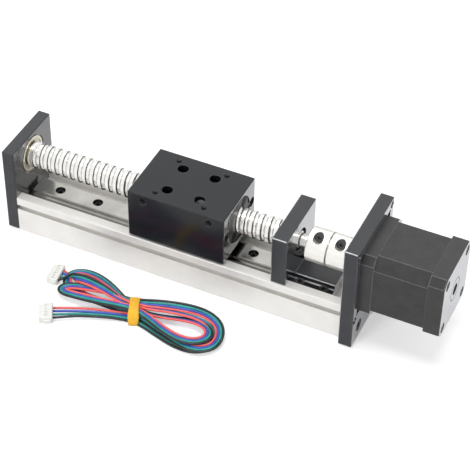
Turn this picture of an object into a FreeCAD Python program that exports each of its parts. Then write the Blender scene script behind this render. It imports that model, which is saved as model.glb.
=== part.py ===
import FreeCAD, Part
import math
import os

# Ball screw linear module: a carriage driven along one guide rail by a ball screw and a stepper motor.
# X runs along the screw towards the motor and Z is up. While modelling, X is 0 at the outer face of
# the idle end plate. The last step moves the origin to the middle of the base's underside.
# All sizes are in millimetres.

# Travel
stroke = 100.0
end_clearance = 0.8
rest_travel = 72.3

# Base profile
base_width = 42.8
base_height = 24.7
channel_width = 30.3
channel_floor = 12.4
slot_opening = 3.4
slot_height = 18.15
slot_lip = 1.2
slot_depth = 3.4
slot_pocket = 6.0
slot_corner = 1.0
underside_relief = 0.6
relief_half_width = 6.0
edge_break = 0.4
port_offset = 16.3
port_height = 9.5
port_depth = 16.0
end_screw_length = 14.0
base_hole_pitch_x = 120.0
base_hole_pitch_y = 30.0
base_hole_tap = 4.2
base_hole_depth = 8.0

# End plate, bearing bracket and motor plate
plate_lift = 0.4
idle_plate_thickness = 7.5
plate_top = 57.0
screw_axis_height = 42.7
wall_thickness = 9.1
wall_width = 40.4
foot_length = 24.2
foot_rib_width = 13.0
foot_rib_top = 22.8
foot_flange_top = 19.2
foot_screw_length = 12.0
foot_thread_depth = 10.0
foot_side_gap = 0.05
foot_fillet = 0.6
foot_screw_edge = 4.9
coupling_bay = 35.1
motor_plate_thickness = 8.0
motor_plate_width = 52.6
motor_plate_top = 70.0
motor_pocket_depth = 1.0
motor_pocket_margin = 0.2
motor_pocket_corner = 0.6
large_motor_pitch = 47.14
large_motor_hole = 4.4
pilot_diameter = 22.0

# Guide rail and its block
rail_width = 12.0
rail_height = 8.0
rail_end_gap = 1.9
rail_end_margin = 15.0
rail_pitch = 25.0
rail_hole_count = 6
rail_counterbore = 6.0
rail_counterbore_depth = 4.5
rail_screw_length = 8.0
rail_groove_height = 5.2
rail_groove_depth = 0.9
rail_chamfer = 0.5
block_lift = 3.0
block_height = 10.0
block_width = 27.0
block_body_length = 32.4
block_cap_length = 5.7
block_seal_thickness = 0.8
block_hole_pitch = 20.0
block_screw_length = 6.0
block_screw_seat_height = 2.0
running_gap = 0.3

# Carriage
carriage_length = 59.6
carriage_width = 41.2
carriage_height = 32.2
access_hole = 6.5
user_hole_pitch = 30.0
user_hole_tap = 3.3
user_hole_depth = 8.0
side_hole_pitch = 41.0
side_hole_drop = 5.1
side_hole_tap = 4.2
side_hole_mouth = 5.0
screw_passage = 22.0

# Ball screw and nut
screw_diameter = 15.4
screw_lead = 5.0
thread_gap = 1.4
groove_width = 3.0
groove_depth = 1.15
groove_turns_per_cut = 3
nut_diameter = 28.0
nut_length = 31.5
nut_recess = 0.5
nut_clearance = 0.25
nut_fit = 0.05
deflector_diameter = 6.4
deflector_radius = 10.5
deflector_depth = 4.0
deflector_angles = (50.0, 235.0)
lock_screw_offset = 16.7
lock_head_depth = 3.2
lock_screw_length = 12.0

# Bearings on the screw
bearing_bore = 10.0
bearing_diameter = 22.0
bearing_width = 6.0
idle_lip_bore = 16.5
fixed_lip_bore = 14.0
bearing_lip_thickness = 2.0
bearing_mouth = 0.9
inner_ring_diameter = 13.0
outer_ring_inside = 19.0
shield_thickness = 0.5
shield_inset = 0.3
shield_gap = 0.3
drive_end_diameter = 8.0
retaining_ring_width = 1.0
retaining_ring_depth = 0.6
retaining_ring_reach = 1.2
retaining_ring_opening = 5.0
lock_nut_diameter = 12.6
lock_nut_recess = 0.5
lock_nut_slot_width = 2.0
lock_nut_slot_depth = 0.7

# Coupling
coupling_diameter = 20.0
coupling_length = 25.0
coupling_start = 5.8
coupling_rim = 0.5
coupling_slit = 0.9
coupling_core = 11.6
clamp_slot = 1.2
clamp_screw_pitch = 13.0
clamp_screw_offset = 5.9
clamp_seat_height = 2.4
clamp_screw_length = 8.0
clamp_angle = 62.0
shaft_depth_in_coupling = 11.8

# Stepper motor
motor_square = 42.3
motor_length = 48.0
front_cap_length = 8.2
rear_cap_length = 9.3
cap_edge_break = 0.3
rear_hub_diameter = 13.0
rear_hub_groove = 0.6
rear_shaft_hole = 7.0
case_screw_grip = 3.0
cap_chamfer = 4.2
stack_inset = 0.15
stack_chamfer = 6.3
motor_hole_pitch = 31.0
motor_shaft_diameter = 5.0
motor_shaft_reach = 22.0
shaft_flat_depth = 0.5
shaft_flat_length = 15.0
rotor_diameter = 21.6
air_gap = 0.3
stator_slot_count = 8
stator_slot_inner = 12.6
stator_slot_outer = 17.2
stator_slot_half_angle = 13.0
end_turn_length = 3.5
pilot_height = 1.9
motor_bearing_diameter = 16.0
motor_bearing_width = 5.0
motor_bearing_land = 3.0
front_bearing_inset = 1.2
rear_bearing_inset = 1.4
preload_room = 0.4
preload_thickness = 0.35
motor_thread_depth = 3.5
case_screw_head_depth = 3.4
connector_width = 16.4
connector_depth = 6.4
connector_drop = 4.5
connector_rise = 3.0
connector_wall = 0.9
connector_ways = 6
connector_pitch = 2.0

# Socket screws: thread, head diameter, head height, hexagon across flats
M3 = (3.0, 5.5, 3.0, 2.5)
M4 = (4.0, 7.0, 4.0, 3.0)
counterbore_gap = 0.25
screw_end_gap = 0.6

# Motor lead, lying loose in front of the module
wire_bundle = 3.4
hank_height = 8.0
tie_width = 9.0
tie_wall = 0.8

# Places along X that follow from the sizes above
travel_room = stroke + carriage_length + 2 * end_clearance
wall_x = idle_plate_thickness + travel_room
wall_back_x = wall_x + wall_thickness
foot_end_x = wall_back_x + foot_length
motor_plate_x = wall_back_x + coupling_bay
motor_plate_back_x = motor_plate_x + motor_plate_thickness
motor_x = motor_plate_back_x - motor_pocket_depth
motor_rear_x = motor_x + motor_length
overall_length = motor_rear_x
carriage_x = idle_plate_thickness + end_clearance + rest_travel
carriage_end_x = carriage_x + carriage_length
carriage_mid_x = carriage_x + carriage_length / 2
coupling_x = wall_back_x + coupling_start
coupling_end_x = coupling_x + coupling_length
coupling_mid_x = coupling_x + coupling_length / 2
rail_x = idle_plate_thickness + rail_end_gap
rail_length = 2 * rail_end_margin + (rail_hole_count - 1) * rail_pitch
idle_bearing_x = idle_plate_thickness - bearing_width
fixed_bearing_x = wall_back_x - bearing_lip_thickness - bearing_width
front_cap_end_x = motor_x + front_cap_length
rear_cap_x = motor_rear_x - rear_cap_length
front_bearing_x = motor_x + front_bearing_inset
rear_bearing_x = motor_rear_x - rear_bearing_inset - motor_bearing_width
case_screw_seat_x = motor_rear_x - case_screw_head_depth
thread_start_x = idle_plate_thickness + thread_gap
screw_shoulder_x = fixed_bearing_x
screw_tip_x = coupling_x + shaft_depth_in_coupling
nut_end_x = carriage_end_x - nut_recess
nut_x = nut_end_x - nut_length
block_x = carriage_mid_x - block_body_length / 2
block_end_x = carriage_mid_x + block_body_length / 2

# Heights that follow from the sizes above
rail_top = channel_floor + rail_height
block_bottom = channel_floor + block_lift
block_top = block_bottom + block_height
carriage_bottom = block_top
carriage_top = carriage_bottom + carriage_height
block_screw_seat = carriage_bottom + block_screw_seat_height
connector_top = screw_axis_height - motor_square / 2 + connector_rise

X_AXIS = FreeCAD.Vector(1, 0, 0)
Z_AXIS = FreeCAD.Vector(0, 0, 1)


def vec(x, y, z):
    return FreeCAD.Vector(x, y, z)


def turned(shape, direction, place):
    """Turn a shape made along +Z to the given direction and move its origin to the given place."""
    rotation = FreeCAD.Rotation(Z_AXIS, direction)
    shape.Placement = FreeCAD.Placement(place, rotation).multiply(shape.Placement)
    return shape


def rod(diameter, length, place, direction):
    return Part.makeCylinder(diameter / 2, length, place, direction)


def rod_x(diameter, x_start, x_end, y=0.0, z=screw_axis_height):
    return rod(diameter, x_end - x_start, vec(x_start, y, z), X_AXIS)


def ring_x(outer, inner, x_start, x_end, y=0.0, z=screw_axis_height):
    return rod_x(outer, x_start, x_end, y, z).cut(rod_x(inner, x_start, x_end, y, z))


def prism_x(points, x_start, x_end):
    """Extrude an outline of (y, z) points along X."""
    corners = [vec(x_start, y, z) for y, z in points]
    face = Part.Face(Part.makePolygon(corners + corners[:1]))
    return face.extrude(vec(x_end - x_start, 0, 0))


def mirrored(points):
    """Close a half outline of (y, z) points, given from bottom to top at y above 0, with its mirror image."""
    return points + [(-y, z) for y, z in reversed(points)]


def chamfered_square(half, corner, z_centre):
    """Outline of a square with its four corners cut off."""
    low = half - corner
    points = [(half, -low), (half, low), (low, half), (-low, half)]
    points += [(-half, low), (-half, -low), (-low, -half), (low, -half)]
    return [(y, z + z_centre) for y, z in points]


def revolve_x(points, z=screw_axis_height):
    """Turn an outline of (x, radius) points about an axis along X."""
    corners = [vec(x, 0, radius) for x, radius in points]
    face = Part.Face(Part.makePolygon(corners + corners[:1]))
    solid = face.revolve(vec(0, 0, 0), X_AXIS, 360)
    solid.translate(vec(0, 0, z))
    return solid


def breaks_edges(shape, size, chosen):
    """Chamfer every straight edge that the test chooses."""
    edges = [edge for edge in shape.Edges if edge.Curve.TypeId == "Part::GeomLine" and chosen(edge)]
    return shape.makeChamfer(size, edges)


def socket_screw(size, length, place, direction):
    """A hexagon socket head screw. Its head stands out along direction and its seat is at place."""
    thread, head, head_height, hexagon = size
    shank = Part.makeCylinder(thread / 2, length, vec(0, 0, -length), Z_AXIS)
    solid = Part.makeCylinder(head / 2, head_height).fuse(shank)
    across = hexagon / math.sqrt(3)
    ring = [vec(across * math.cos(math.radians(60 * i)), across * math.sin(math.radians(60 * i)), head_height)
            for i in range(6)]
    socket = Part.Face(Part.makePolygon(ring + ring[:1])).extrude(vec(0, 0, -head_height / 2))
    return turned(solid.cut(socket), direction, place)


def screw_pocket(size, length, place, direction, reach=None):
    """The hole for a socket screw: shank hole below the seat and counterbore above it."""
    thread, head, head_height, hexagon = size
    depth = reach if reach is not None else head_height + counterbore_gap
    shank = Part.makeCylinder(thread / 2, length + 0.01, vec(0, 0, -length), Z_AXIS)
    bore = Part.makeCylinder(head / 2 + counterbore_gap, depth, vec(0, 0, 0), Z_AXIS)
    return turned(shank.fuse(bore), direction, place)


def square_pattern(pitch, centre=(0.0, 0.0)):
    half = pitch / 2
    return [(centre[0] + a * half, centre[1] + b * half) for a in (-1, 1) for b in (-1, 1)]


# Base profile and what bolts to its ends

def port_places():
    return [(side * port_offset, port_height) for side in (-1, 1)]


def idle_screw_seat():
    return M4[2] + counterbore_gap


def motor_plate_screw_seat():
    return motor_plate_back_x - M4[2] - counterbore_gap


def rail_hole_places():
    return [rail_x + rail_end_margin + rail_pitch * i for i in range(rail_hole_count)]


def foot_screw_places():
    """Two rows of screws in the foot's flanges, evenly set about the foot's middle."""
    middle = wall_back_x + foot_length / 2
    spacing = foot_length - 2 * foot_screw_edge
    across = (foot_rib_width + channel_width) / 4
    return [(middle + a * spacing / 2, b * across) for a in (-1, 1) for b in (-1, 1)]


def base_profile():
    half = base_width / 2
    inner = channel_width / 2
    slot_low = slot_height - slot_opening / 2
    slot_high = slot_height + slot_opening / 2
    pocket_low = slot_height - slot_pocket / 2
    pocket_high = slot_height + slot_pocket / 2
    outline = [(relief_half_width, underside_relief), (relief_half_width + 1.0, 0.0)]
    outline += [(half - edge_break, 0.0), (half, edge_break)]
    outline += [(half, slot_low), (half - slot_lip, slot_low), (half - slot_lip, pocket_low)]
    outline += [(half - slot_depth, pocket_low + slot_corner), (half - slot_depth, pocket_high - slot_corner)]
    outline += [(half - slot_lip, pocket_high), (half - slot_lip, slot_high), (half, slot_high)]
    outline += [(half, base_height - edge_break), (half - edge_break, base_height)]
    outline += [(inner + edge_break, base_height), (inner, base_height - edge_break), (inner, channel_floor)]
    body = prism_x(mirrored(outline), idle_plate_thickness, motor_plate_x)
    cutters = []
    for y, z in port_places():
        cutters.append(rod_x(M4[0], idle_plate_thickness, idle_plate_thickness + port_depth, y, z))
        cutters.append(rod_x(M4[0], motor_plate_x - port_depth, motor_plate_x, y, z))
    for x in rail_hole_places():
        cutters.append(rod(M3[0], rail_screw_length, vec(x, 0, channel_floor), -Z_AXIS))
    for x, y in foot_screw_places():
        cutters.append(rod(M3[0], foot_thread_depth, vec(x, y, channel_floor), -Z_AXIS))
    middle = (idle_plate_thickness + motor_plate_x) / 2
    for side in (-1, 1):
        for end in (-1, 1):
            place = vec(middle + end * base_hole_pitch_x / 2, side * base_hole_pitch_y / 2, 0)
            cutters.append(rod(base_hole_tap, base_hole_depth, place, Z_AXIS))
    return body.cut(cutters)


def idle_end_plate():
    half = base_width / 2
    outline = mirrored([(half, plate_lift), (half, plate_top)])
    body = prism_x(outline, 0, idle_plate_thickness)
    body = breaks_edges(body, edge_break, lambda edge: True)
    pocket_start = idle_plate_thickness - bearing_width
    pocket = rod_x(bearing_diameter, pocket_start, idle_plate_thickness)
    lip = rod_x(idle_lip_bore, 0, pocket_start)
    mouth_x = idle_plate_thickness - bearing_mouth
    radius = bearing_diameter / 2
    mouth = revolve_x([(mouth_x, 0), (mouth_x, radius), (idle_plate_thickness, radius + bearing_mouth),
                       (idle_plate_thickness, 0)])
    cutters = [pocket, lip, mouth]
    for y, z in port_places():
        cutters.append(screw_pocket(M4, idle_plate_thickness, vec(idle_screw_seat(), y, z), -X_AXIS))
    return body.cut(cutters)


def idle_end_plate_screws():
    return [socket_screw(M4, end_screw_length, vec(idle_screw_seat(), y, z), -X_AXIS)
            for y, z in port_places()]


def bearing_outer_ring(x_start):
    return ring_x(bearing_diameter, outer_ring_inside, x_start, x_start + bearing_width)


def bearing_shields(x_start):
    """A thin plate at each side that closes the gap between the rings but for a running gap."""
    inner = inner_ring_diameter + 2 * shield_gap
    starts = (x_start + shield_inset, x_start + bearing_width - shield_inset - shield_thickness)
    return [ring_x(outer_ring_inside, inner, x, x + shield_thickness) for x in starts]


def bearing_inner_ring(x_start):
    return ring_x(inner_ring_diameter, bearing_bore, x_start, x_start + bearing_width)


def fixed_bearing_bracket():
    """A wall that stands on the base's ledges, with a tongue and a ribbed foot down in the channel."""
    half = wall_width / 2
    inner = channel_width / 2 - foot_side_gap
    rib = foot_rib_width / 2
    wall = mirrored([(inner, channel_floor), (inner, base_height), (half, base_height), (half, plate_top)])
    body = prism_x(wall, wall_x, wall_back_x)
    foot = mirrored([(inner, channel_floor), (inner, foot_flange_top), (rib + foot_fillet, foot_flange_top),
                     (rib, foot_flange_top + foot_fillet), (rib, foot_rib_top - edge_break),
                     (rib - edge_break, foot_rib_top)])
    body = body.fuse(prism_x(foot, wall_back_x, foot_end_x)).removeSplitter()

    def on_wall_top(edge):
        return edge.BoundBox.ZMin > plate_top - 0.01 or edge.BoundBox.ZLength > plate_top - base_height - 1

    body = breaks_edges(body, edge_break, on_wall_top)
    ring_x_start = fixed_bearing_x - retaining_ring_width
    cutters = [
        rod_x(bearing_diameter, wall_x, fixed_bearing_x + bearing_width),
        rod_x(bearing_diameter + 2 * retaining_ring_depth, ring_x_start, fixed_bearing_x),
        rod_x(fixed_lip_bore, wall_x, wall_back_x),
    ]
    for x, y in foot_screw_places():
        cutters.append(rod(M3[0], foot_flange_top - channel_floor, vec(x, y, channel_floor), Z_AXIS))
    return body.cut(cutters)


def bracket_foot_screws():
    return [socket_screw(M3, foot_screw_length, vec(x, y, foot_flange_top), Z_AXIS)
            for x, y in foot_screw_places()]


def bearing_retaining_ring():
    """A split spring ring that sits in a groove in front of the fixed bearing."""
    x_end = fixed_bearing_x
    x_start = x_end - retaining_ring_width
    outside = bearing_diameter + 2 * retaining_ring_depth
    inside = bearing_diameter - 2 * retaining_ring_reach
    ring = ring_x(outside, inside, x_start, x_end)
    gap_width = retaining_ring_opening
    gap = Part.makeBox(retaining_ring_width, gap_width, bearing_diameter)
    gap.translate(vec(x_start, -gap_width / 2, screw_axis_height - bearing_diameter))
    return ring.cut(gap)


def linear_rail():
    half = rail_width / 2
    low = channel_floor
    groove = channel_floor + rail_groove_height
    cap = rail_chamfer
    outline = [(half - cap, low), (half, low + cap), (half, groove - 1.4), (half - rail_groove_depth, groove - 0.5)]
    outline += [(half - rail_groove_depth, groove + 0.5), (half, groove + 1.4)]
    outline += [(half, rail_top - cap), (half - cap, rail_top)]
    body = prism_x(mirrored(outline), rail_x, rail_x + rail_length)
    seat = rail_top - rail_counterbore_depth
    cutters = []
    for x in rail_hole_places():
        cutters.append(rod(rail_counterbore, rail_counterbore_depth, vec(x, 0, seat), Z_AXIS))
        cutters.append(rod(M3[0], rail_height, vec(x, 0, channel_floor), Z_AXIS))
    return body.cut(cutters)


def rail_screws():
    seat = rail_top - rail_counterbore_depth
    shank = seat - channel_floor + rail_screw_length
    return [socket_screw(M3, shank, vec(x, 0, seat), Z_AXIS) for x in rail_hole_places()]


def motor_plate():
    half = motor_plate_width / 2
    body = prism_x(mirrored([(half, plate_lift), (half, motor_plate_top)]), motor_plate_x, motor_plate_back_x)
    body = breaks_edges(body, edge_break, lambda edge: True)
    pocket_half = motor_square / 2 + motor_pocket_margin
    pocket_floor = motor_plate_back_x - motor_pocket_depth
    square = chamfered_square(pocket_half, motor_pocket_corner, screw_axis_height)
    pocket = prism_x(square, pocket_floor, motor_plate_back_x)
    cutters = [pocket, rod_x(pilot_diameter + 0.2, motor_plate_x, motor_plate_back_x)]
    for y, z in square_pattern(pocket_half * 2 - 1.6, (0, screw_axis_height)):
        cutters.append(rod_x(2.6, pocket_floor, motor_plate_back_x, y, z))
    for y, z in square_pattern(large_motor_pitch, (0, screw_axis_height)):
        cutters.append(rod_x(large_motor_hole, motor_plate_x, motor_plate_back_x, y, z))
    for y, z in square_pattern(motor_hole_pitch, (0, screw_axis_height)):
        seat = vec(motor_plate_x + M3[2] + counterbore_gap, y, z)
        cutters.append(screw_pocket(M3, motor_plate_thickness, seat, -X_AXIS))
    for y, z in port_places():
        seat = vec(motor_plate_screw_seat(), y, z)
        cutters.append(screw_pocket(M4, motor_plate_thickness, seat, X_AXIS))
    return body.cut(cutters)


def motor_plate_screws():
    return [socket_screw(M4, end_screw_length, vec(motor_plate_screw_seat(), y, z), X_AXIS)
            for y, z in port_places()]


def motor_mounting_screws():
    seat = motor_plate_x + M3[2] + counterbore_gap
    length = motor_x + motor_thread_depth - seat
    return [socket_screw(M3, length, vec(seat, y, z), -X_AXIS)
            for y, z in square_pattern(motor_hole_pitch, (0, screw_axis_height))]


# Stepper motor

def motor_front_cap():
    body = prism_x(chamfered_square(motor_square / 2, cap_chamfer, screw_axis_height), motor_x, front_cap_end_x)
    body = breaks_edges(body, cap_edge_break, lambda edge: edge.BoundBox.XMax < motor_x + 0.01)
    body = body.fuse(rod_x(pilot_diameter, motor_x - pilot_height, motor_x))
    cutters = [
        rod_x(motor_shaft_diameter + 2, motor_x - pilot_height, front_cap_end_x),
        rod_x(motor_bearing_diameter, front_bearing_x, front_bearing_x + motor_bearing_width),
        rod_x(2 * stator_slot_outer + 0.6, front_cap_end_x - end_turn_length - 0.5, front_cap_end_x),
        rod_x(motor_bearing_diameter - 1.5, front_bearing_x, front_cap_end_x),
    ]
    for y, z in square_pattern(motor_hole_pitch, (0, screw_axis_height)):
        cutters.append(rod_x(M3[0], motor_x, motor_x + motor_thread_depth, y, z))
        cutters.append(rod_x(M3[0], front_cap_end_x - case_screw_grip, front_cap_end_x, y, z))
    return body.cut(cutters)


def motor_rear_cap():
    body = prism_x(chamfered_square(motor_square / 2, cap_chamfer, screw_axis_height), rear_cap_x, motor_rear_x)
    body = breaks_edges(body, edge_break, lambda edge: edge.BoundBox.XMin > motor_rear_x - 0.01)
    hub = rear_hub_diameter
    cutters = [
        rod_x(motor_bearing_diameter, rear_cap_x, rear_bearing_x + motor_bearing_width + preload_room),
        rod_x(2 * stator_slot_outer + 0.6, rear_cap_x, rear_cap_x + end_turn_length + 0.5),
        ring_x(hub + 2 * rear_hub_groove, hub, motor_rear_x - 0.5, motor_rear_x),
        rod_x(rear_shaft_hole, rear_bearing_x, motor_rear_x),
    ]
    for y, z in square_pattern(motor_hole_pitch, (0, screw_axis_height)):
        cutters.append(rod_x(M3[0], rear_cap_x, motor_rear_x, y, z))
        cutters.append(rod_x(M3[1] + 0.5, case_screw_seat_x, motor_rear_x, y, z))
    notch = prism_x([(-connector_width / 2, 0), (connector_width / 2, 0),
                     (connector_width / 2, connector_top), (-connector_width / 2, connector_top)],
                    rear_cap_x, rear_cap_x + connector_depth)
    return body.cut(cutters + [notch])


def motor_connector():
    """The shrouded six way header that the motor's lead plugs into, set in a notch of the rear cap."""
    half = connector_width / 2
    low = screw_axis_height - motor_square / 2 - connector_drop
    body = prism_x(mirrored([(half, low), (half, connector_top)]), rear_cap_x, rear_cap_x + connector_depth)
    mouth = prism_x(mirrored([(half - connector_wall, low), (half - connector_wall, low + 6.0)]),
                    rear_cap_x + connector_wall, rear_cap_x + connector_depth - connector_wall)
    pins = []
    for i in range(connector_ways):
        y = connector_pitch * (i - (connector_ways - 1) / 2)
        pin = Part.makeBox(0.6, 0.6, 5.0, vec(rear_cap_x + connector_depth / 2 - 0.3, y - 0.3, low + 1.2))
        pins.append(pin)
    return body.cut(mouth).fuse(pins)


def stack_outline():
    return chamfered_square(motor_square / 2 - stack_inset, stack_chamfer, screw_axis_height)


def slot_sector(inner, outer, half_angle, middle_angle, x_start, x_end):
    """A prism along X whose section is a sector of a ring about the screw's axis."""
    low = math.radians(middle_angle - half_angle)
    high = math.radians(middle_angle + half_angle)
    mid = math.radians(middle_angle)

    def at(radius, angle):
        return vec(x_start, radius * math.cos(angle), screw_axis_height + radius * math.sin(angle))

    edges = [
        Part.LineSegment(at(inner, low), at(outer, low)).toShape(),
        Part.Arc(at(outer, low), at(outer, mid), at(outer, high)).toShape(),
        Part.LineSegment(at(outer, high), at(inner, high)).toShape(),
        Part.Arc(at(inner, high), at(inner, mid), at(inner, low)).toShape(),
    ]
    return Part.Face(Part.Wire(edges)).extrude(vec(x_end - x_start, 0, 0))


def stator_slots(x_start, x_end):
    step = 360.0 / stator_slot_count
    return [slot_sector(stator_slot_inner, stator_slot_outer, stator_slot_half_angle, step * (i + 0.5),
                        x_start, x_end)
            for i in range(stator_slot_count)]


def motor_stator():
    body = prism_x(stack_outline(), front_cap_end_x, rear_cap_x)
    cutters = [rod_x(rotor_diameter + 2 * air_gap, front_cap_end_x, rear_cap_x)]
    cutters += stator_slots(front_cap_end_x, rear_cap_x)
    for y, z in square_pattern(motor_hole_pitch, (0, screw_axis_height)):
        cutters.append(rod_x(M3[0], front_cap_end_x, rear_cap_x, y, z))
    return body.cut(cutters)


def motor_windings():
    """Copper in each slot, joined at both ends by the coils' end turns."""
    body = ring_x(2 * stator_slot_outer, 2 * stator_slot_inner, front_cap_end_x - end_turn_length,
                  front_cap_end_x)
    rear = ring_x(2 * stator_slot_outer, 2 * stator_slot_inner, rear_cap_x, rear_cap_x + end_turn_length)
    return body.fuse([rear] + stator_slots(front_cap_end_x, rear_cap_x))


def motor_case_screws():
    length = case_screw_seat_x - (front_cap_end_x - case_screw_grip)
    return [socket_screw(M3, length, vec(case_screw_seat_x, y, z), X_AXIS)
            for y, z in square_pattern(motor_hole_pitch, (0, screw_axis_height))]


def motor_bearing_starts():
    return (front_bearing_x, rear_bearing_x)


def motor_bearing_outer_rings():
    inside = motor_bearing_diameter - 3.0
    return [ring_x(motor_bearing_diameter, inside, x, x + motor_bearing_width) for x in motor_bearing_starts()]


def motor_bearing_inner_rings():
    outside = motor_shaft_diameter + motor_bearing_land
    return [ring_x(outside, motor_shaft_diameter, x, x + motor_bearing_width) for x in motor_bearing_starts()]


def motor_preload_washer():
    x_start = rear_bearing_x + motor_bearing_width
    outside = motor_bearing_diameter - 0.4
    inside = motor_bearing_diameter - 3.4
    return ring_x(outside, inside, x_start, x_start + preload_thickness)


def motor_shaft():
    tip = motor_x - motor_shaft_reach
    body = rod_x(motor_shaft_diameter, tip, rear_bearing_x + motor_bearing_width)
    radius = motor_shaft_diameter / 2
    flat = Part.makeBox(shaft_flat_length, motor_shaft_diameter, radius)
    flat.translate(vec(tip, -radius, screw_axis_height + radius - shaft_flat_depth))
    return breaks_round_end(body, tip, 0.4).cut(flat)


def breaks_round_end(shape, x, size):
    edges = [edge for edge in shape.Edges
             if abs(edge.BoundBox.XMin - x) < 0.01 and abs(edge.BoundBox.XMax - x) < 0.01]
    return shape.makeChamfer(size, edges)


def motor_rotor():
    """Two iron stacks with the magnet disc between them, on the motor's shaft."""
    start = front_cap_end_x + 2.0
    end = rear_cap_x - 2.0
    magnet = 1.6
    middle = (start + end) / 2
    radius = rotor_diameter / 2
    waist = radius - 0.8
    hole = motor_shaft_diameter / 2
    outline = [(start, hole), (start, radius), (middle - magnet, radius), (middle - magnet, waist)]
    outline += [(middle + magnet, waist), (middle + magnet, radius), (end, radius), (end, hole)]
    return revolve_x(outline)


# Ball screw, its nut and the coupling

def thread_groove():
    """The ball groove: a gothic section swept along a right hand helix with one lead per turn."""
    helix_start = thread_start_x - screw_lead
    helix_length = screw_shoulder_x - helix_start + screw_lead
    radius = screw_diameter / 2
    helix = Part.makeHelix(screw_lead, helix_length, radius)
    outside = 0.5
    half = groove_width / 2
    slope = groove_depth / half
    half_out = half + outside / slope
    section = [vec(radius + outside, 0, -half_out), vec(radius - groove_depth, 0, 0),
               vec(radius + outside, 0, half_out)]
    profile = Part.makePolygon(section + section[:1])
    sweep = Part.BRepOffsetAPI.MakePipeShell(Part.Wire(helix))
    sweep.setFrenetMode(True)
    sweep.add(profile)
    sweep.build()
    sweep.makeSolid()
    return turned(sweep.shape(), X_AXIS, vec(helix_start, 0, screw_axis_height))


def ball_screw():
    radius = screw_diameter / 2
    body = revolve_x([
        (idle_bearing_x - 1.0, 0), (idle_bearing_x - 1.0, bearing_bore / 2 - 0.5),
        (idle_bearing_x - 0.5, bearing_bore / 2), (thread_start_x - 0.9, bearing_bore / 2),
        (thread_start_x - 0.9, radius - 0.4), (thread_start_x - 0.5, radius),
        (screw_shoulder_x - 3.0, radius), (screw_shoulder_x - 2.2, inner_ring_diameter / 2),
        (screw_shoulder_x, inner_ring_diameter / 2), (screw_shoulder_x, bearing_bore / 2),
        (wall_back_x - 0.2, bearing_bore / 2), (wall_back_x - 0.2, drive_end_diameter / 2),
        (screw_tip_x - 0.4, drive_end_diameter / 2), (screw_tip_x, drive_end_diameter / 2 - 0.4),
        (screw_tip_x, 0),
    ])
    groove = thread_groove()
    stretch = groove_turns_per_cut * screw_lead
    start = thread_start_x + 1.5
    cuts = []
    while start < screw_shoulder_x - 2.2:
        end = min(start + stretch, screw_shoulder_x - 2.2)
        cuts.append(groove.common(rod_x(screw_diameter + 4, start, end)))
        start = end
    return body.cut(cuts)


def bearing_lock_nut():
    """A thin slotted nut that clamps the inner ring, set back inside the bracket's rear bore."""
    x_start = fixed_bearing_x + bearing_width
    x_end = wall_back_x - lock_nut_recess
    body = ring_x(lock_nut_diameter, bearing_bore, x_start, x_end)
    slots = []
    for i in range(4):
        corner = vec(x_start, -lock_nut_slot_width / 2, lock_nut_diameter / 2 - lock_nut_slot_depth)
        slot = Part.makeBox(x_end - x_start, lock_nut_slot_width, 2 * lock_nut_slot_depth, corner)
        slot.rotate(vec(0, 0, 0), X_AXIS, 45 + 90 * i)
        slot.translate(vec(0, 0, screw_axis_height))
        slots.append(slot)
    return body.cut(slots)


def clamp_direction():
    angle = math.radians(clamp_angle)
    return vec(0, -math.sin(angle), math.cos(angle))


def clamp_side():
    angle = math.radians(clamp_angle)
    return vec(0, math.cos(angle), math.sin(angle))


def clamp_screw_seats():
    seats = []
    for side in (-1, 1):
        centre = vec(coupling_mid_x + side * clamp_screw_pitch / 2, 0, screw_axis_height)
        seats.append(centre + clamp_side() * clamp_screw_offset + clamp_direction() * clamp_seat_height)
    return seats


def shaft_coupling():
    """One aluminium piece: a clamp hub for each shaft, with a slit all round between them."""
    radius = coupling_diameter / 2
    rim = coupling_rim
    body = revolve_x([
        (coupling_x, 0), (coupling_x, radius - rim), (coupling_x + rim, radius),
        (coupling_end_x - rim, radius), (coupling_end_x, radius - rim), (coupling_end_x, 0),
    ])
    slot = Part.makeBox(coupling_length, clamp_slot, radius + 1, vec(coupling_x, -clamp_slot / 2, 0))
    slot.rotate(vec(0, 0, 0), X_AXIS, clamp_angle - 90)
    slot.translate(vec(0, 0, screw_axis_height))
    cutters = [
        rod_x(drive_end_diameter, coupling_x, screw_tip_x + 0.3),
        rod_x(motor_shaft_diameter, screw_tip_x, coupling_end_x),
        ring_x(coupling_diameter + 2, coupling_core, coupling_mid_x - coupling_slit / 2,
               coupling_mid_x + coupling_slit / 2),
        slot,
    ]
    for seat in clamp_screw_seats():
        cutters.append(screw_pocket(M3, clamp_screw_length, seat, clamp_direction(), radius))
    return body.cut(cutters)


def coupling_clamp_screws():
    return [socket_screw(M3, clamp_screw_length, seat, clamp_direction()) for seat in clamp_screw_seats()]


# Carriage

def block_hole_places():
    return square_pattern(block_hole_pitch, (carriage_mid_x, 0))


def lock_screw_seats():
    x = nut_end_x - lock_head_depth
    return [vec(x, side * lock_screw_offset, screw_axis_height) for side in (-1, 1)]


def lock_screw_pockets():
    return [screw_pocket(M3, lock_screw_length, seat, X_AXIS, lock_head_depth + nut_recess)
            for seat in lock_screw_seats()]


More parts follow.
